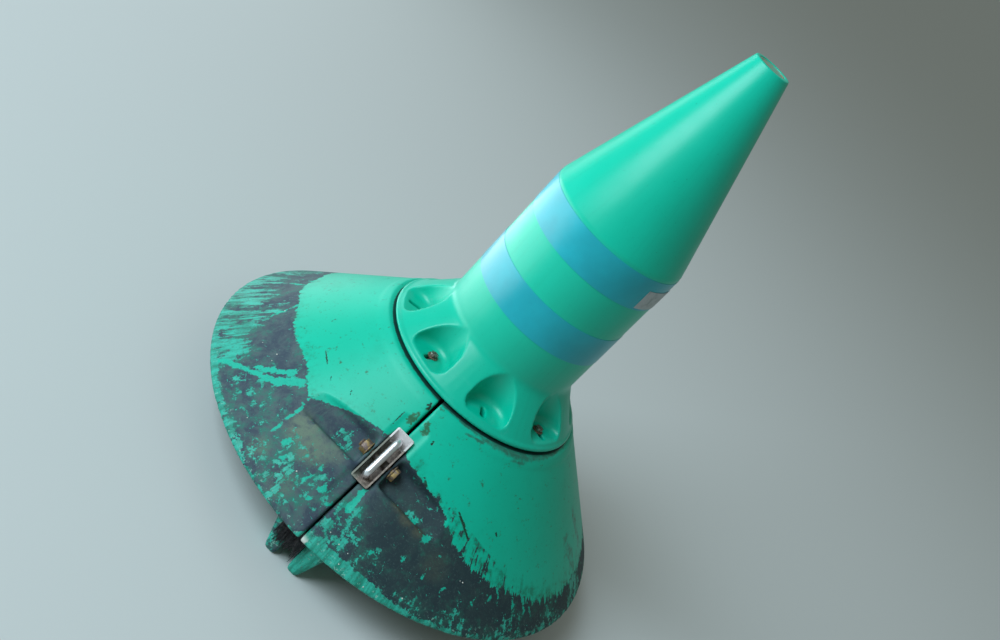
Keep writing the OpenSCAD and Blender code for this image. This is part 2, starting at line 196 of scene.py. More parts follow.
# Scrapes through the growth, and bruises of the green: both ends, half the width
SCRAPES = ((-49, 26, -42, 78, 6), (-42, 78, -36, 112, 8), (-37, 112, -34, 146, 12), (-42, 95, -38, 138, 9),
           (-43.5, 86, -40, 112, 6), (-64, 108, -70, 156, 2.4), (-24, 70, -25, 98, 4.5),
           (-25, 98, -26.5, 130, 5), (-27, 134, -28, 150, 2.5), (-20, 76, -19.5, 90, 7),
           (-9.5, 70, -9, 82, 4), (-5, 80, -4.5, 86, 9), (-0.9, 72, -0.6, 80, 5), (-9, 100, -8.6, 103, 5),
           (-5.2, 58, -5, 62, 6), (-17, 62, -16.6, 66, 6), (2.7, 128, 3.5, 88, 8.5),
           (24, 127, 24.6, 134, 8), (19, 148, 19.6, 160, 4.5), (28, 70, 29, 92, 2.6), (14, 56, 14, 66, 3),
           (57, 88, 58, 66, 5), (61, 84, 63, 52, 4.5), (64, 66, 66, 44, 2.6), (51, 94, 52, 80, 3),
           (49, 72, 49.5, 79, 3), (44, 62, 44.5, 72, 2.6), (34, 64, 35, 74, 2.6), (21.5, 80, 21.5, 84, 3.5),
           (72, 76, 73, 50, 3), (84, 74, 82, 48, 2.6), (-86, 96, -84, 144, 2.4), (-90, 110, -87, 170, 2))
SLIVERS = ((30.2, 190, 36.8, 156, 2.6), (31, 186, 34, 174, 2.6), (-43, 199, -37.5, 195, 1.8),
           (46, 181, 46.6, 177, 2.5), (8.9, 262, 9.1, 256, 2.4), (-24.5, 213, -23, 207, 1.4),
           (-32, 193, -31, 190, 1.4), (-7, 262, -6, 232, 1.4), (14, 208, 20, 184, 1.6),
           (-2.6, 304, -1.4, 296, 3), (-3, 298, -2.4, 292, 1.6), (-58, 222, -57, 215, 1.2))
# Stains: both ends, half the width, strength
STAINS = ((-3.2, 262, -2.8, 276, 9, 0.95), (2.6, 276, 4.6, 266, 9, 0.95), (2.4, 262, 4.4, 262, 5, 0.6))
# How wide the grime round the tower's flange is, by degrees
SEAT_GRIME = ((-180, 2), (-75, 3), (-14, 5), (-2, 9), (6, 9), (20, 14), (34, 20), (50, 24), (66, 18),
              (84, 5), (180, 2))
# Other grime: both ends, half the width, strength
GRIME = ((18, 305, 27, 307, 4, 0.8), (44, 301, 52, 301, 5, 0.7), (70, 120, 86, 100, 40, 0.25),
         (86, 140, 92, 80, 25, 0.6), (95, 180, 100, 90, 18, 0.6), (-2, 230, 2, 230, 40, 0.3))
# Mm along the cone for each mm of height, a depth outside all strokes, the farthest degree with strokes
ALONG_CONE = 1.41
FAR_OFF = -50
MARKED_TURN = 110
# Places of the shells
SHELLS = ((3.9, 47), (7.1, 42), (9.9, 40), (9.8, 19), (39.5, 90), (38.6, 91), (-52.2, 97), (-46.4, 119),
          (-44.6, 109), (-30, 45), (-12, 70), (17, 14), (26, 30), (-66, 128))


def flat_place(r, turn):
    """Where a point of the cone lies once the cone is rolled out flat, in mm."""
    long = r / math.cos(slope) / MM
    return long * math.sin(turn * math.cos(slope)), -long * math.cos(turn * math.cos(slope))


def cone_r(height):
    """Radius of the cone at a height over the hull's underside."""
    return rim_r - (height - rim_h) / math.tan(slope)


def cone_flat(degrees, height):
    return flat_place(cone_r(height * MM), math.radians(degrees))


def between(table, at):
    """The value that a table of (place, value) has at a place, in a straight line between its rows."""
    for (a, low), (b, high) in zip(table, table[1:]):
        if a <= at <= b:
            return low + (high - low) * (at - a) / (b - a)
    return table[-1][1]


def soft(value, low, high):
    """0 below low, 1 above high, smooth between; low may be above high."""
    t = min(1, max(0, (value - low) / (high - low)))
    return t * t * (3 - 2 * t)


def spots(table):
    return [(*cone_flat(a, b), *rest) for a, b, *rest in table]


def strokes(table):
    return [(*cone_flat(a, b), *cone_flat(c, d), *rest) for a, b, c, d, *rest in table]


def off_stroke(x, y, stroke):
    """Distance from the line in the middle of a stroke."""
    ax, ay, bx, by = stroke[:4]
    ux, uy = bx - ax, by - ay
    t = min(1, max(0, ((x - ax) * ux + (y - ay) * uy) / (ux * ux + uy * uy)))
    return math.hypot(x - ax - t * ux, y - ay - t * uy)


def depth_in(x, y, table):
    """How deep a point lies inside some strokes, in mm."""
    return max(s[4] - off_stroke(x, y, s) for s in table)


def in_strokes(x, y, table, outer, inner):
    """How strong some strokes are at a point; each fades out from inner to outer half widths."""
    return max(s[5] * soft(off_stroke(x, y, s), s[4] * outer, s[4] * inner) for s in table)


def in_spots(x, y, table):
    """How strong some round spots are at a point."""
    return max(much * soft(math.hypot(x - a, y - b), r, r * 0.3) for a, b, r, much in table)


def note_hull_wear(bm):
    """Writes, at every vertex of a hull half, how deep it lies in each kind of dirt or wear."""
    names = ("grown", "scraped", "sliver", "wear", "olive", "grime", "stain")
    grown, scraped, sliver, wear, olive, grime, stain = (bm.verts.layers.float.new(name) for name in names)
    scrapes, slivers, grimes, stains = (strokes(table) for table in (SCRAPES, SLIVERS, GRIME, STAINS))
    blobs, faded = spots(WEAR), spots(OLIVE)
    to_bracket = on_cone().inverted()
    slack, pan_half, left_end = 3 * MM, 27 * MM, -95 * MM
    for v in bm.verts:
        co = v.co
        turn = math.atan2(co.x, -co.y)
        degrees = math.degrees(turn)
        height = (co.z - foot_h) / MM
        v[grown] = (between(GROWTH_LINE, degrees) - height) * ALONG_CONE
        v[scraped] = v[sliver] = FAR_OFF
        wide = between(RIM_WIDE, degrees)
        rim = between(RIM_WEAR, degrees) * soft(height, wide * 1.25, wide * 0.55)
        if abs(degrees) > MARKED_TURN or height < 3:
            v[wear] = max(rim, 0.35)
            continue
        # Growth fills the bolt troughs, but hardly the far end of the left one
        place = to_bracket @ co
        sunk = (cone_r(co.z - foot_h) - co.xy.length) * math.sin(slope)
        if trough_low - slack < place.y < trough_high + slack and abs(place.x) > pan_half:
            need = 1.5 * MM if place.x > left_end else 15 * MM
            v[grown] = max(v[grown], (sunk - need) / MM * 2)
        x, y = flat_place(co.xy.length, turn)
        v[scraped] = depth_in(x, y, scrapes)
        v[sliver] = depth_in(x, y, slivers)
        v[wear] = max(rim, in_spots(x, y, blobs))
        v[olive] = in_spots(x, y, faded)
        wide = between(SEAT_GRIME, degrees)
        at_flange = 0.8 * soft((co.xy.length - flange_r) / MM, wide * 1.4, wide * 0.5)
        v[grime] = max(in_strokes(x, y, grimes, 1.6, 0.3), at_flange)
        v[stain] = in_strokes(x, y, stains, 1.25, 0.5)


# Finishes

FRESH_GREEN = (0.0, 0.44, 0.285)
FADED_GREEN = (0.002, 0.51, 0.35)
DEEP_GREEN = (0.0, 0.27, 0.155)


def hull_plastic():
    p = Paint("hull_plastic")
    turn = p.turn()
    height = p.z - foot_h
    wear = p.field("wear")
    down = p.vector(turn * 0.45, height * 0.15)
    streaks = p.noise(85, 5, 0.62, place=down, warp=0.15)
    grain = p.noise(46, 5, 0.72)
    fine = p.noise(190, 4, 0.65)
    broad = p.noise(8, 4, 0.6)

    green = p.mix(p.step(p.noise(3.5, 3), 0.35, 0.7) * 0.5, FRESH_GREEN, FADED_GREEN)
    green = p.mix(p.step(broad, 0.52, 0.75) * 0.25, green, DEEP_GREEN)
    green = p.mix(p.step(fine, 0.60, 0.72) * 0.32, green, (0.0, 0.24, 0.16))
    bruised = p.step(p.field("sliver") + (fine - 0.5) * 5, -0.8, 0.6)
    green = p.mix(bruised, green, (0.010, 0.045, 0.026))
    ragged = (grain - 0.5) * 3.4 + (fine - 0.5) * 2.2
    stained = p.step(p.field("stain") + ragged, 0.35, 0.95)
    green = p.mix(stained * 0.85, green, (0.030, 0.092, 0.032))
    grimy = p.step(p.field("grime") + (grain - 0.5) * 1.6, 0.3, 0.9)
    green = p.mix(grimy * 0.8, green, (0.030, 0.092, 0.066))

    right = p.step(turn, -0.05, 0.25)
    feather = 22 + p.step(turn, 0.15, 0.9) * 60
    edge = p.field("grown") + (streaks - 0.5) * feather + (grain - 0.5) * 26 + (fine - 0.5) * 14
    grown = p.step(edge, 0.0, 3.0)

    mottle = p.noise(15, 6, 0.72, warp=0.5)
    smudged = p.step(edge, -48, 2) * p.step(grain * 0.5 + mottle * 0.3 + streaks * 0.2, 0.45, 0.58)
    green = p.mix(smudged * (0.20 + right * 0.45), green, (0.004, 0.12, 0.065))
    # Painted shade: a thin dark ring on the hull just outside the tower's flange, standing in for the shadow
    # in the gap under it
    ring = p.math("SQRT", p.x * p.x + p.y * p.y)
    at_seat = p.step(p.z, seat_z - 20 * MM, seat_z - 10 * MM)
    painted_gap_shade = p.step(ring, flange_r + 2.2 * MM, flange_r + 1.4 * MM) * at_seat
    green = p.mix(painted_gap_shade * 0.9, green, (0.010, 0.028, 0.028))
    speck = p.noise(420, 3, 0.6)
    dark = p.mix(p.step(mottle, 0.38, 0.62), (0.036, 0.040, 0.070), (0.070, 0.092, 0.104))
    dark = p.mix(right * 0.75, dark, (0.014, 0.020, 0.026))
    haze = p.step(grain * 0.6 + mottle * 0.4 + wear * 0.16, 0.50, 0.66)
    dark = p.mix(haze * (0.72 - right * 0.30), dark, (0.010, 0.160, 0.112))
    dark = p.mix(p.step(fine, 0.56, 0.66) * 0.30, dark, (0.085, 0.150, 0.140))
    worn = p.mix(p.step(streaks, 0.36, 0.62), (0.010, 0.210, 0.145), (0.035, 0.44, 0.33))
    olive = p.field("olive") * p.step(grain * 0.5 + mottle * 0.5, 0.34, 0.56)
    dark = p.mix(olive * 0.85, dark, p.mix(right, (0.150, 0.180, 0.125), (0.100, 0.088, 0.056)))
    stretch = p.step(turn, -0.75, -1.0)
    pattern = streaks * (0.25 + stretch * 0.35) + grain * (0.75 - stretch * 0.35) - 0.50 + (wear - 0.5) * 0.30
    bare = p.step(pattern, -0.005, 0.032) * p.step(wear, 0.05, 0.3)
    flakes = p.step(p.noise(60, 4, 0.7, warp=0.4), 0.635, 0.665)
    bare = p.math("MAXIMUM", bare, flakes * 0.9)
    dashes = p.step(p.noise(150, 3, 0.6, place=down), 0.50, 0.58) * stretch
    skin = p.mix(bare * (0.95 - p.step(fine, 0.52, 0.64) * 0.5 - dashes * 0.4), dark, worn)
    torn = (streaks - 0.5) * 14 + (grain - 0.5) * 28 + (fine - 0.5) * 12
    bright = p.step(p.field("scraped") + torn, -0.8, 1.6)
    skin = p.mix(bright * 0.92, skin, (0.006, 0.43, 0.30))
    skin = p.mix(p.step(speck, 0.60, 0.68) * 0.35, skin, (0.020, 0.040, 0.048))
    colour = p.mix(grown * 0.97, green, skin)

    nicks = p.step(p.noise(120, 4, 0.7), 0.60, 0.66) * p.step(height, 0.040, 0.012)
    colour = p.mix(nicks * 0.7, colour, (0.25, 0.50, 0.40))
    chalk = p.step(p.math("ABSOLUTE", p.x - 0.009) + (grain - 0.5) * 0.02, 0.010, 0.005)
    colour = p.mix(chalk * p.step(height, 0.020, 0.008) * p.step(-p.y, 0.3, 0.4), colour, (0.55, 0.57, 0.52))
    # Painted shade: the strip round the hull's underside at its foot, darkened as if in shadow
    under = p.step(height, 0.004, 0.0) * p.step(height, -0.012, -0.004)
    colour = p.mix(under * 0.8, colour, p.mix(fine, (0.035, 0.045, 0.035), (0.01, 0.15, 0.09)))

    covered = grown * (1 - bare * 0.6)
    rough = 0.42 + covered * 0.22 + (fine - 0.5) * 0.10
    bumps = p.bump(p.noise(380, 3, 0.6), 0.20, 0.0005)
    bumps = p.bump(covered * (0.6 + fine * 0.4) - bruised * 0.4, 0.7, 0.0014, bumps)
    bumps = p.bump(p.noise(5, 2), 0.5, 0.005, bumps)
    return p.finish(colour, rough, normal=bumps, gloss=0.28)


def tower_plastic():
    p = Paint("tower_plastic")
    colour = p.mix(p.step(p.noise(2.5, 3), 0.3, 0.7) * 0.6, FRESH_GREEN, FADED_GREEN)
    down = p.vector(p.turn() * 14, p.z * 2.2)
    colour = p.mix(p.step(p.noise(1, 4, 0.6, place=down), 0.5, 0.75) * 0.12, colour, DEEP_GREEN)
    specks = p.step(p.noise(300, 2), 0.70, 0.74)
    colour = p.mix(specks * 0.5, colour, (0.0, 0.14, 0.08))
    scuffs = p.step(p.noise(30, 5, 0.65), 0.55, 0.7) * p.step(p.z, seat_z + 0.15, seat_z + 0.03)
    colour = p.mix(scuffs * 0.22, colour, (0.06, 0.50, 0.38))
    rough = 0.27 + p.noise(26, 4) * 0.12
    bumps = p.bump(p.noise(420, 3, 0.6), 0.12, 0.0004)
    bumps = p.bump(p.noise(6, 2), 0.4, 0.004, bumps)
    return p.finish(colour, rough, normal=bumps, gloss=0.35)


def band_film():
    p = Paint("band_film")
    cells = p.cell_edges(p.vector(p.turn() * 48, p.z * 250))
    patchy = p.noise(7, 4, 0.6)
    colour = p.mix(p.step(patchy, 0.35, 0.65), (0.0, 0.31, 0.37), (0.001, 0.36, 0.43))
    colour = p.mix(p.step(cells, 0.05, 0.0) * 0.12, colour, (0.02, 0.45, 0.50))
    rough = 0.24 + patchy * 0.12
    return p.finish(colour, rough, normal=p.bump(cells, 0.08, 0.0003), gloss=0.45)


def label_film():
    p = Paint("label_film")
    worn = p.noise(45, 5, 0.65)
    colour = p.mix(p.step(worn, 0.45, 0.7), (0.42, 0.45, 0.46), (0.27, 0.31, 0.32))
    return p.finish(colour, 0.55 + worn * 0.2, normal=p.bump(worn, 0.2, 0.0005))


def plug_plastic():
    p = Paint("plug_plastic")
    stain = p.noise(70, 5, 0.65)
    colour = p.mix(p.step(stain, 0.45, 0.62), (0.12, 0.36, 0.26), (0.30, 0.21, 0.13))
    return p.finish(colour, 0.6, normal=p.bump(stain, 0.4, 0.0008))


def stained_steel(name, clean, dirt, share, grain):
    """Steel under brown stains; share is how much of it they cover."""
    p = Paint(name)
    stain = p.step(p.noise(grain, 6, 0.7, warp=0.4), 0.62 - share * 0.4, 0.72 - share * 0.4)
    pits = p.noise(grain * 6, 4, 0.7)
    shade = p.mix(pits, dirt, tuple(c * 0.35 for c in dirt))
    colour = p.mix(stain, clean, shade)
    rough = 0.24 + stain * 0.5 + pits * 0.08
    metal = 1 - stain * 0.9
    return p.finish(colour, rough, metal, normal=p.bump(stain * 0.5 + pits * 0.5, 0.4, 0.0006))


def clamp_rust():
    """Rust of the bolt that clamps the halves: ochre and purple grey, and darkened inside the pan, partly
    dirt and partly painted shade.
    """
    p = Paint("clamp_rust")
    blotch = p.noise(90, 5, 0.65, warp=0.3)
    pits = p.noise(520, 4, 0.7)
    colour = p.mix(p.step(blotch, 0.42, 0.58), (0.36, 0.235, 0.085), (0.22, 0.155, 0.138))
    colour = p.mix(p.step(pits, 0.52, 0.64) * 0.6, colour, (0.055, 0.040, 0.030))
    # Dirt and painted shade: the rod darkened where it crosses inside the pan
    dirt_and_shade_in_pan = p.step(p.math("ABSOLUTE", p.x), 0.030, 0.026)
    colour = p.mix(dirt_and_shade_in_pan * 0.9, colour, (0.030, 0.026, 0.020))
    metal = 0.45 - dirt_and_shade_in_pan * 0.45
    return p.finish(colour, 0.42 + pits * 0.2, metal, normal=p.bump(pits, 0.4, 0.0006))


def pan_steel():
    """Sheet steel: clean on its upper ramp, brown dirt from there down, a little paler along its rim."""
    p = Paint("pan_steel")
    middle = on_cone().translation
    off_axis = p.math("ABSOLUTE", p.y)
    up_slope = off_axis * -math.cos(slope) + p.z * math.sin(slope)
    up_slope = up_slope - (middle.y * math.cos(slope) + middle.z * math.sin(slope))
    out = off_axis * math.sin(slope) + p.z * math.cos(slope)
    out = out - (-middle.y * math.sin(slope) + middle.z * math.cos(slope))
    blotch = p.noise(110, 6, 0.7, warp=0.3)
    pits = p.noise(500, 4, 0.7)
    clean = p.step(up_slope + (blotch - 0.5) * 0.012, 0.0440, 0.0465)
    dirt = p.mix(p.step(blotch, 0.42, 0.62), (0.160, 0.125, 0.108), (0.360, 0.280, 0.235))
    dirt = p.mix(p.step(p.x, -0.004, -0.016) * 0.6, dirt, (0.165, 0.205, 0.165))
    bare = p.step(out, -0.0015, 0.0015) * p.step(blotch, 0.53, 0.46)
    dirt = p.mix(bare * 0.15, dirt, (0.40, 0.34, 0.28))
    dirt = p.mix(p.step(p.noise(240, 3), 0.66, 0.70) * 0.7, dirt, (0.42, 0.38, 0.32))
    colour = p.mix(clean, dirt, p.mix(pits, (0.82, 0.76, 0.75), (0.66, 0.61, 0.60)))
    return p.finish(colour, 0.62 - clean * 0.12, 0.10, normal=p.bump(blotch * 0.6 + pits * 0.4, 0.35, 0.0006))


def polished_bar():
    p = Paint("polished_bar")
    dull = p.step(p.noise(120, 5, 0.7), 0.60, 0.75)
    colour = p.mix(dull * 0.6, (0.86, 0.85, 0.88), (0.34, 0.27, 0.24))
    return p.finish(colour, 0.38 + dull * 0.2, 1 - dull * 0.5, normal=p.bump(dull, 0.2, 0.0003))


def weed_skin():
    p = Paint("weed_skin")
    tone = p.noise(160, 4)
    colour = p.mix(p.step(tone, 0.40, 0.62), (0.018, 0.016, 0.022), (0.095, 0.082, 0.085))
    return p.finish(colour, 0.40, normal=p.bump(tone, 0.4, 0.0008))


def shell_skin():
    p = Paint("shell_skin")
    tone = p.noise(500, 3)
    colour = p.mix(tone, (0.50, 0.48, 0.42), (0.75, 0.74, 0.68))
    return p.finish(colour, 0.6, normal=p.bump(tone, 0.5, 0.0004))


# Mesh tools

def piece_from(bm, name, material, replaced=(), smooth=math.radians(32), place=None):
    """Turns a bmesh into a finished piece at the origin, riding on the buoy's one body."""
    if place is not None:
        bm.transform(place)
    bmesh.ops.recalc_face_normals(bm, faces=bm.faces[:])
    mesh = bpy.data.meshes.new(name)
    for face in bm.faces:
        face.smooth = True
    for edge in bm.edges:
        edge.smooth = edge.is_manifold and edge.calc_face_angle(0) < smooth
    bm.to_mesh(mesh)
    bm.free()
    mesh.materials.append(material)
    made = bpy.data.objects.new(name, mesh)
    bpy.context.scene.collection.objects.link(made)
    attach(made, "root")
    if replaced:
        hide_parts(*replaced)


def verts_in(geometry):
    return [g for g in geometry if isinstance(g, bmesh.types.BMVert)]


def edges_in(geometry):
    return [g for g in geometry if isinstance(g, bmesh.types.BMEdge)]


def add_polyline(bm, points, close=False):
    verts = [bm.verts.new(point) for point in points]
    pairs = list(zip(verts, verts[1:])) + ([(verts[-1], verts[0])] if close else [])
    return verts, [bm.edges.new(pair) for pair in pairs]


def add_spun(bm, outline, steps, turn=math.tau, close=True, place=Matrix()):
    """An outline of (radius, height) turned round the Z axis of a place."""
    verts, edges = add_polyline(bm, [place @ Vector((r, 0, z)) for r, z in outline], close)
    axis = place.to_3x3() @ Vector((0, 0, 1))
    bmesh.ops.spin(bm, geom=verts + edges, cent=place.translation, axis=axis, angle=turn, steps=steps,
                   use_merge=turn == math.tau)
    bmesh.ops.remove_doubles(bm, verts=bm.verts[:], dist=TOUCHING)


def spun(outline, steps, turn=math.tau, close=True):
    bm = bmesh.new()
    add_spun(bm, outline, steps, turn, close)
    return bm


def bevel_sharp(bm, width, segments, angle=30):
    edges = [e for e in bm.edges if e.is_manifold and e.calc_face_angle(0) > math.radians(angle)]
    bmesh.ops.bevel(bm, geom=edges, offset=width, segments=segments, profile=0.5, affect="EDGES", material=-1,
                    clamp_overlap=True)


def moulded(node, grain, rounds=2):
    """A copy of a solid remeshed to an even grain, whose edges are then rubbed soft like a moulding's."""
    copy = bpy.data.objects.new("moulding", nodes[node].data.copy())
    bpy.context.scene.collection.objects.link(copy)
    bm = bmesh.new()
    bm.from_mesh(copy.data)
    bmesh.ops.remove_doubles(bm, verts=bm.verts[:], dist=1e-6)
    bm.to_mesh(copy.data)
    bm.free()
    remesh = copy.modifiers.new("grain", "REMESH")
    remesh.mode = "VOXEL"
    remesh.voxel_size = grain
    even = copy.evaluated_get(bpy.context.evaluated_depsgraph_get())
    bm = bmesh.new()
    bm.from_mesh(even.to_mesh())
    even.to_mesh_clear()
    bpy.data.objects.remove(copy)
    for _ in range(rounds):
        bmesh.ops.smooth_vert(bm, verts=bm.verts[:], factor=0.5, use_axis_x=True, use_axis_y=True,
                              use_axis_z=True)
    return bm


def settle(bm, radius_at, lean, low, high):
    """Draws the vertices that lie close to a turned surface onto it, so that it shades evenly."""
    near, far = 0.4 * MM, 1.1 * MM
    for v in bm.verts:
        if low < v.co.z < high:
            r = v.co.xy.length
            off = (r - radius_at(v.co.z)) * math.cos(lean)
            share = 1 - soft(abs(off), near, far)
            if share > 0:
                v.co.xy *= 1 - off * share * math.cos(lean) / r
                v.co.z -= off * share * math.sin(lean)


def hex_prism(bm, af, height, place):
    """A nut or bolt head with chamfered corners."""
    corner = af / 2 / math.cos(math.pi / 6)
    made = bmesh.ops.create_cone(bm, cap_ends=True, segments=6, radius1=corner, radius2=corner, depth=height,
                                 matrix=place @ Matrix.Translation((0, 0, height / 2)))
    edges = list({e for v in made["verts"] for e in v.link_edges})
    bmesh.ops.bevel(bm, geom=edges, offset=af * 0.045, segments=2, profile=0.5, affect="EDGES", material=-1,
                    clamp_overlap=True)


def add_rod(bm, d, length, segments, middle):
    """A plain round rod about its middle."""
    bmesh.ops.create_cone(bm, cap_ends=True, segments=segments, radius1=d / 2, radius2=d / 2, depth=length,
                          matrix=middle)


def threaded_rod(bm, d, length, pitch, place):
    """A rod with rings for its thread, standing on height 0."""
    points = [(0, 0)]
    turns = int(length / pitch)
    for i in range(turns):
        points += [(d / 2 - pitch * 0.5, i * pitch), (d / 2, (i + 0.5) * pitch)]
    points += [(d / 2 - pitch * 0.6, turns * pitch), (0, turns * pitch + pitch * 0.3)]
    add_spun(bm, points, 28, close=False, place=place)


def add_ring(bm, d, hole, height, place):
    edge = 0.4 * MM
    add_spun(bm, [(hole / 2, 0), (d / 2 - edge, 0), (d / 2, edge), (d / 2, height - edge),
                  (d / 2 - edge, height), (hole / 2, height)], 40, place=place)


# The pieces

def make_hull():
    plastic = hull_plastic()
    for side in ("left", "right"):
        bm = moulded(f"hull_{side}", 4.8 * MM)
        settle(bm, lambda z: cone_r(z - foot_h), math.pi / 2 - slope,
               low=foot_h + 14 * MM, high=seat_z - 24 * MM)
        note_hull_wear(bm)
        piece_from(bm, f"hull_{side}_moulding", plastic, [f"hull_{side}"], smooth=math.pi)


def make_tower():
    tube_r, crease_r, top_r = 190 * MM, 188 * MM, 47 * MM
    foot, crease, split = seat_z + 118 * MM, seat_z + 524 * MM, seat_z + 270 * MM

    def tube_at(z):
        return tube_r + (crease_r - tube_r) * (z - foot) / (crease - foot)

    bm = moulded("tower", 3.2 * MM)
    bmesh.ops.bisect_plane(bm, geom=bm.verts[:] + bm.edges[:] + bm.faces[:], plane_co=(0, 0, split),
                           plane_no=(0, 0, 1), clear_outer=True)
    settle(bm, tube_at, 0, low=seat_z + 140 * MM, high=split + MM)
    plug_r, plug_deep, soft_by = 36.1 * MM, 4 * MM, 5 * MM
    top = tower_high.z
    lean = (top_r - crease_r) / (top - crease)
    upper = [(tube_at(split), split), (tube_at(crease - soft_by), crease - soft_by),
             (crease_r - 0.2 * MM, crease), (crease_r + lean * soft_by, crease + soft_by),
             (top_r - lean * 2 * MM, top - 2 * MM), (top_r - 0.5 * MM, top - 0.6 * MM), (top_r - 2 * MM, top),
             (plug_r + MM, top), (plug_r, top - MM), (plug_r, top - plug_deep), (0, top - plug_deep)]
    add_spun(bm, upper, steps=256, close=False)
    piece_from(bm, "tower_moulding", tower_plastic(), ["tower"], smooth=math.radians(50))


def make_bands():
    film = band_film()
    thick, edge, taper = 0.8 * MM, 0.3 * MM, 0.45 * MM
    for name in ("band_lower", "band_upper"):
        low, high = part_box(name)
        r = (high.x - low.x) / 2
        bm = spun([(r - thick, low.z), (r - edge, low.z), (r, low.z + edge), (r, high.z - edge),
                   (r - edge, high.z), (r - thick, high.z)], steps=256)
        for v in bm.verts:
            share = (v.co.z - low.z) / (high.z - low.z)
            v.co.xy *= 1 - taper / r * share
        piece_from(bm, f"{name}_film", film, [name])


def make_label():
    low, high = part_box("label")
    r, thick = 190.3 * MM, 0.7 * MM
    span, middle = math.radians(34), math.radians(-17)
    bm = spun([(r - thick, low.z), (r, low.z), (r, high.z), (r - thick, high.z)], steps=24, turn=span)
    ends = [e for e in bm.edges if len(e.link_faces) == 1]
    bmesh.ops.holes_fill(bm, edges=ends, sides=8)
    bevel_sharp(bm, 0.25 * MM, 1)
    piece_from(bm, "blank_label", label_film(), ["label"],
               place=Matrix.Rotation(middle - span / 2, 4, "Z"))


def make_plug():
    low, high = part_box("top_plug")
    r, top = (high.x - low.x) / 2, high.z
    edge, dish = 0.6 * MM, 1.2 * MM
    bm = spun([(0, low.z), (r, low.z), (r, top - edge), (r - edge, top), (r * 0.86, top),
               (r * 0.82, top - dish), (0, top - dish)], steps=96, close=False)
    piece_from(bm, "top_plug_disc", plug_plastic(), ["top_plug"])


def make_bracket(side, steel):
    length, width, ramp = 153 * MM, 50 * MM, 26 * MM
    deep, proud, sheet = 34 * MM, 3 * MM, 4 * MM
    half = length / 2
    bm = bmesh.new()
    rows = [(-half, proud), (ramp - half, -deep), (half - ramp, -deep), (half, proud)]
    _, edges = add_polyline(bm, [(-width / 2, y, z) for y, z in rows])
    grown = bmesh.ops.extrude_edge_only(bm, edges=edges)
    bmesh.ops.translate(bm, verts=verts_in(grown["geom"]), vec=(width, 0, 0))
    sides = [e for e in bm.edges
             if len(e.link_faces) == 1 and abs(e.verts[0].co.x - e.verts[1].co.x) < TOUCHING]
    grown = bmesh.ops.extrude_edge_only(bm, edges=sides)
    for v in verts_in(grown["geom"]):
        v.co.z = proud
    bmesh.ops.remove_doubles(bm, verts=bm.verts[:], dist=TOUCHING)
    bmesh.ops.dissolve_degenerate(bm, dist=TOUCHING, edges=bm.edges[:])
    bmesh.ops.recalc_face_normals(bm, faces=bm.faces[:])
    bevel_sharp(bm, 4 * MM, 4, angle=20)
    bmesh.ops.recalc_face_normals(bm, faces=bm.faces[:])
    up = sum(f.normal.z for f in bm.faces)
    bmesh.ops.solidify(bm, geom=bm.faces[:], thickness=sheet if up < 0 else -sheet)
    piece_from(bm, f"bracket_{side}_pan", steel, [f"bracket_{side}"], place=on_cone(side))


def make_bar(side, steel):
    d, length, bend, high = 18 * MM, 122 * MM, 13 * MM, 5 * MM
    leg = (length - d) / 2
    straight = leg - bend
    foot = -18 * MM
    bm = bmesh.new()
    made = bmesh.ops.create_circle(bm, cap_ends=False, segments=32, radius=d / 2,
                                   matrix=Matrix.Translation((0, leg, foot)))
    edges = list({e for v in made["verts"] for e in v.link_edges})

    def carry(loop, move):
        grown = bmesh.ops.extrude_edge_only(bm, edges=loop)["geom"]
        bmesh.ops.translate(bm, verts=verts_in(grown), vec=move)
        return [e for e in edges_in(grown) if all(v in grown for v in e.verts)]

    def turn(loop, centre):
        verts = list({v for e in loop for v in e.verts})
        made = bmesh.ops.spin(bm, geom=verts + loop, cent=centre, axis=(1, 0, 0), angle=math.pi / 2, steps=8)
        return edges_in(made["geom_last"])

    edges = carry(edges, (0, 0, high - bend - foot))
    edges = turn(edges, (0, straight, high - bend))
    edges = carry(edges, (0, -2 * straight, 0))
    edges = turn(edges, (0, -straight, high - bend))
    carry(edges, (0, 0, foot - high + bend))
    ends = [e for e in bm.edges if len(e.link_faces) == 1]
    bmesh.ops.holes_fill(bm, edges=ends, sides=64)
    piece_from(bm, f"lift_bar_{side}_round", steel, [f"lift_bar_{side}"], place=on_cone(side))


def make_clamp(side, rust):
    axis = (on_cone(side) @ Matrix.Translation((0, -clamp_drop, -clamp_depth))
            @ Matrix.Rotation(-math.pi / 2, 4, "Y"))
    wall, washer_t, washer_d, washer_hole = 36 * MM, 3 * MM, 38 * MM, 21 * MM
    d, af, head, nut, past_nut, pitch = 20 * MM, 30 * MM, 12.5 * MM, 16 * MM, 8 * MM, 2.5 * MM
    under = wall + washer_t
    bm = bmesh.new()
    hex_prism(bm, af, head, axis @ Matrix.Translation((0, 0, -under - head)))
    add_rod(bm, d, 2 * under, 40, axis)
    threaded_rod(bm, d, nut + past_nut, pitch, axis @ Matrix.Translation((0, 0, under)))
    piece_from(bm, f"clamp_bolt_{side}_rod", rust, [f"clamp_bolt_{side}"])
    bm = bmesh.new()
    hex_prism(bm, af, nut, axis @ Matrix.Translation((0, 0, under)))
    piece_from(bm, f"clamp_nut_{side}_hex", rust, [f"clamp_nut_{side}"])
    bm = bmesh.new()
    for near in (-under, wall):
        add_ring(bm, washer_d, washer_hole, washer_t, axis @ Matrix.Translation((0, 0, near)))
    piece_from(bm, f"clamp_washers_{side}_rings", rust, [f"clamp_washers_{side}"])


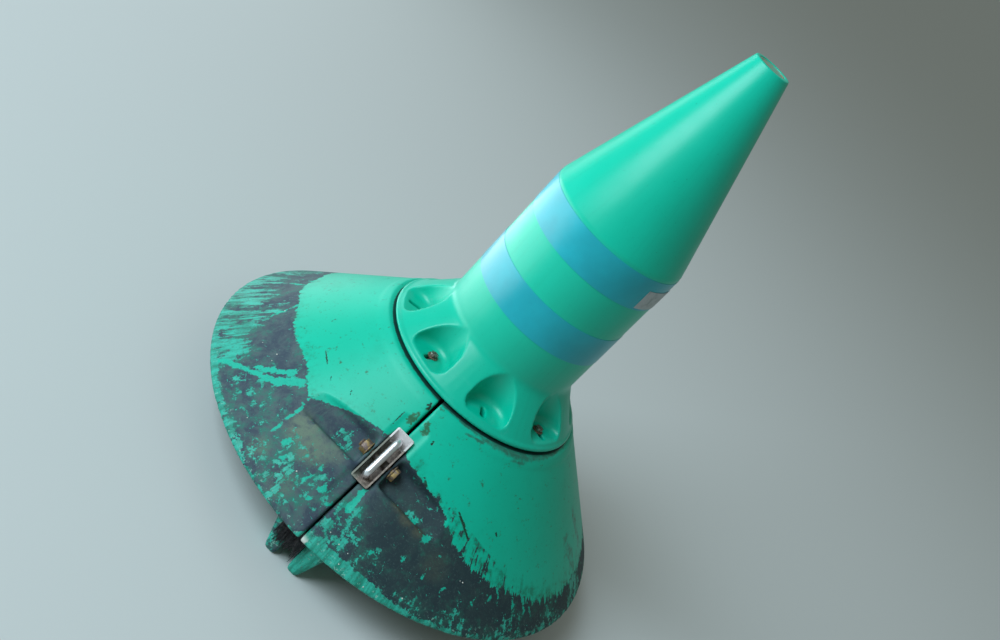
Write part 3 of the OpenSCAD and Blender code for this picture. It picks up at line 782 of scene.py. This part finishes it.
def make_tower_bolts(rust, washer):
    low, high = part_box("tower_washers")
    washer_t = high.z - low.z
    circle_r, first, count = 0.227, -114, 4
    shank, shank_middle = 60 * MM, -29 * MM
    bolts, washers = bmesh.new(), bmesh.new()
    for i in range(count):
        turn = math.radians(first + 90 * i)
        place = Matrix.Rotation(turn, 4, "Z") @ Matrix.Translation((circle_r, 0, low.z))
        hex_prism(bolts, bolt_af, bolt_head, place @ Matrix.Translation((0, 0, washer_t))
                  @ Matrix.Rotation(0.4 * i, 4, "Z"))
        add_rod(bolts, bolt_d, shank, 24, place @ Matrix.Translation((0, 0, shank_middle)))
        add_ring(washers, 28 * MM, 13 * MM, washer_t, place)
    piece_from(bolts, "tower_bolt_heads", rust, ["tower_bolts"])
    piece_from(washers, "tower_bolt_washers", washer, ["tower_washers"])


def make_mooring(steel, rust):
    bm = bmesh.new()
    bm.from_mesh(nodes["mooring_plate"].data)
    bmesh.ops.remove_doubles(bm, verts=bm.verts[:], dist=TOUCHING)
    bmesh.ops.dissolve_limit(bm, angle_limit=math.radians(0.5), verts=bm.verts[:], edges=bm.edges[:])
    bevel_sharp(bm, 1.2 * MM, 2, angle=40)
    piece_from(bm, "mooring_plate_welded", steel, ["mooring_plate"])
    plate_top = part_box("mooring_plate")[1].z
    plate_t, bolt_x, bolt_y = 8 * MM, 49 * MM, 84 * MM
    shank, shank_middle = 50 * MM, -24 * MM
    bm = bmesh.new()
    for x in (-bolt_x, bolt_x):
        for y in (-bolt_y, bolt_y):
            place = Matrix.Translation((x, y, plate_top - plate_t)) @ Matrix.Rotation(math.pi, 4, "X")
            hex_prism(bm, bolt_af, bolt_head, place)
            add_rod(bm, bolt_d, shank, 24, place @ Matrix.Translation((0, 0, shank_middle)))
    piece_from(bm, "mooring_bolt_heads", rust, ["mooring_bolts"])


def make_weed():
    """The clump of weed that hangs between the two feet at the front and over the left one."""
    strands, rungs, root_z = 150, 9, 117.5
    pick = random.Random(5)
    bm = bmesh.new()
    for i in range(strands):
        on_foot = i % 3 == 0
        x = pick.uniform(-52, -16) if on_foot else pick.uniform(-19, 17)
        y = pick.uniform(-562, -557) if on_foot else pick.uniform(-572, -470)
        at = Vector((x, y, root_z)) * MM
        drift = Vector((pick.uniform(-1.5, 1.5), pick.uniform(-0.6, 0.3), -pick.uniform(6.5, 10.5))) * MM
        side = Vector((1, pick.uniform(-0.6, 0.6), 0)).normalized() * pick.uniform(2.0, 4.5) * MM
        last = None
        for rung in range(rungs):
            wide = side * (1 - rung / 10)
            row = [bm.verts.new(at - wide), bm.verts.new(at + wide)]
            if last:
                bm.faces.new((last[0], last[1], row[1], row[0]))
            last = row
            at = at + drift + Vector((pick.uniform(-2, 2), pick.uniform(-1, 1), 0)) * MM
            at.x = min(17 * MM, max(-56 * MM if on_foot else -18 * MM, at.x))
    bmesh.ops.solidify(bm, geom=bm.faces[:], thickness=0.8 * MM)
    piece_from(bm, "weed_strands", weed_skin(), smooth=math.pi)


def make_shells():
    """Small white shells that sit on the growth."""
    bm = bmesh.new()
    pick = random.Random(3)
    for degrees, height in SHELLS:
        r = cone_r(height * MM)
        turn = Matrix.Rotation(math.radians(degrees), 4, "Z")
        place = turn @ Matrix.Translation((0, -r, foot_h + height * MM)) @ Matrix.Rotation(slope, 4, "X")
        size = pick.uniform(1.5, 2.8) * MM
        bmesh.ops.create_cone(bm, cap_ends=True, segments=12, radius1=size, radius2=size * 0.4,
                              depth=size * 1.2, matrix=place)
    piece_from(bm, "small_shells", shell_skin(), smooth=math.radians(50))


# Stage, lights and camera

def make_stage():
    """A pale floor that rises gently far behind the buoy, under a pale sky."""
    flat_to, rise = 8, 0.0011
    bm = bmesh.new()
    bmesh.ops.create_grid(bm, x_segments=48, y_segments=48, size=60)
    for v in bm.verts:
        v.co.z = rise * max(0, v.co.y - flat_to) ** 2
    mesh = bpy.data.meshes.new("floor")
    bm.to_mesh(mesh)
    bm.free()
    p = Paint("floor_paint")
    mesh.materials.append(p.finish((0.62, 0.62, 0.61), 0.9))
    floor = bpy.data.objects.new("floor", mesh)
    bpy.context.scene.collection.objects.link(floor)
    world = bpy.data.worlds.new("sky")
    world.use_nodes = True
    sky = world.node_tree.nodes["Background"]
    sky.inputs["Color"].default_value = (0.86, 0.98, 0.90, 1)
    sky.inputs["Strength"].default_value = 0.25
    bpy.context.scene.world = world


def make_light(name, towards, distance, size, power, colour, at=(0, 0, 0.7)):
    """A soft light at a distance from a point that it shines at."""
    light = bpy.data.lights.new(name, "AREA")
    light.shape = "RECTANGLE"
    light.size, light.size_y = size
    light.energy = power
    light.color = colour
    made = bpy.data.objects.new(name, light)
    bpy.context.scene.collection.objects.link(made)
    centre = Vector(at)
    made.location = centre + Vector(towards).normalized() * distance
    made.rotation_euler = (centre - made.location).to_track_quat("-Z", "Y").to_euler()


def make_camera():
    """The photo's camera as it lies to the upright buoy, rolled by about 44 degrees."""
    eye = (0.109, -2.598, 1.678 + foot_h)
    look = Vector((-0.055, 0.9005, -0.431)).normalized()
    right = Vector((0.703, 0.341, 0.624))
    right = (right - look * right.dot(look)).normalized()
    up = right.cross(look)
    camera = bpy.data.objects.new("camera", bpy.data.cameras.new("camera"))
    bpy.context.scene.collection.objects.link(camera)
    turn = Matrix((right, up, -look)).transposed().to_4x4()
    camera.matrix_world = Matrix.Translation(eye) @ turn
    camera.data.sensor_width = 36
    camera.data.lens = 41.83
    bpy.context.scene.camera = camera


make_camera()
make_stage()
make_light("sky_glow", (-0.60, -0.55, 0.58), distance=9.0, size=(6.0, 6.0), power=960,
           colour=(0.72, 0.90, 1.0))
make_light("low_glow", (0, 0, -1), distance=0.01, size=(2.4, 3.6), power=125,
           colour=(0.84, 0.96, 1.0), at=(-2.4, 0.1, 0.03))
make_light("back_glow", (-0.78, 0.58, 0.24), distance=5.0, size=(1.8, 3.2), power=36,
           colour=(0.80, 0.95, 1.0))
bpy.context.scene.view_settings.view_transform = "Standard"

make_hull()
make_tower()
make_bands()
make_label()
make_plug()
bracket_steel = pan_steel()
washer_steel = stained_steel("washer_steel", (0.45, 0.40, 0.34), (0.20, 0.12, 0.06), 0.6, 160)
clamp_steel = clamp_rust()
tower_bolt_steel = stained_steel("tower_bolt_steel", (0.44, 0.40, 0.36), (0.105, 0.078, 0.055), 0.5, 210)
rusty_steel = stained_steel("rusty_steel", (0.36, 0.31, 0.27), (0.24, 0.125, 0.05), 0.8, 140)
mooring_steel = stained_steel("mooring_steel", (0.38, 0.37, 0.36), (0.16, 0.09, 0.055), 0.55, 30)
bar_steel = polished_bar()
for side in ("front", "back"):
    make_bracket(side, bracket_steel)
    make_bar(side, bar_steel)
    make_clamp(side, clamp_steel)
make_tower_bolts(tower_bolt_steel, washer_steel)
make_mooring(mooring_steel, rusty_steel)
make_weed()
make_shells()
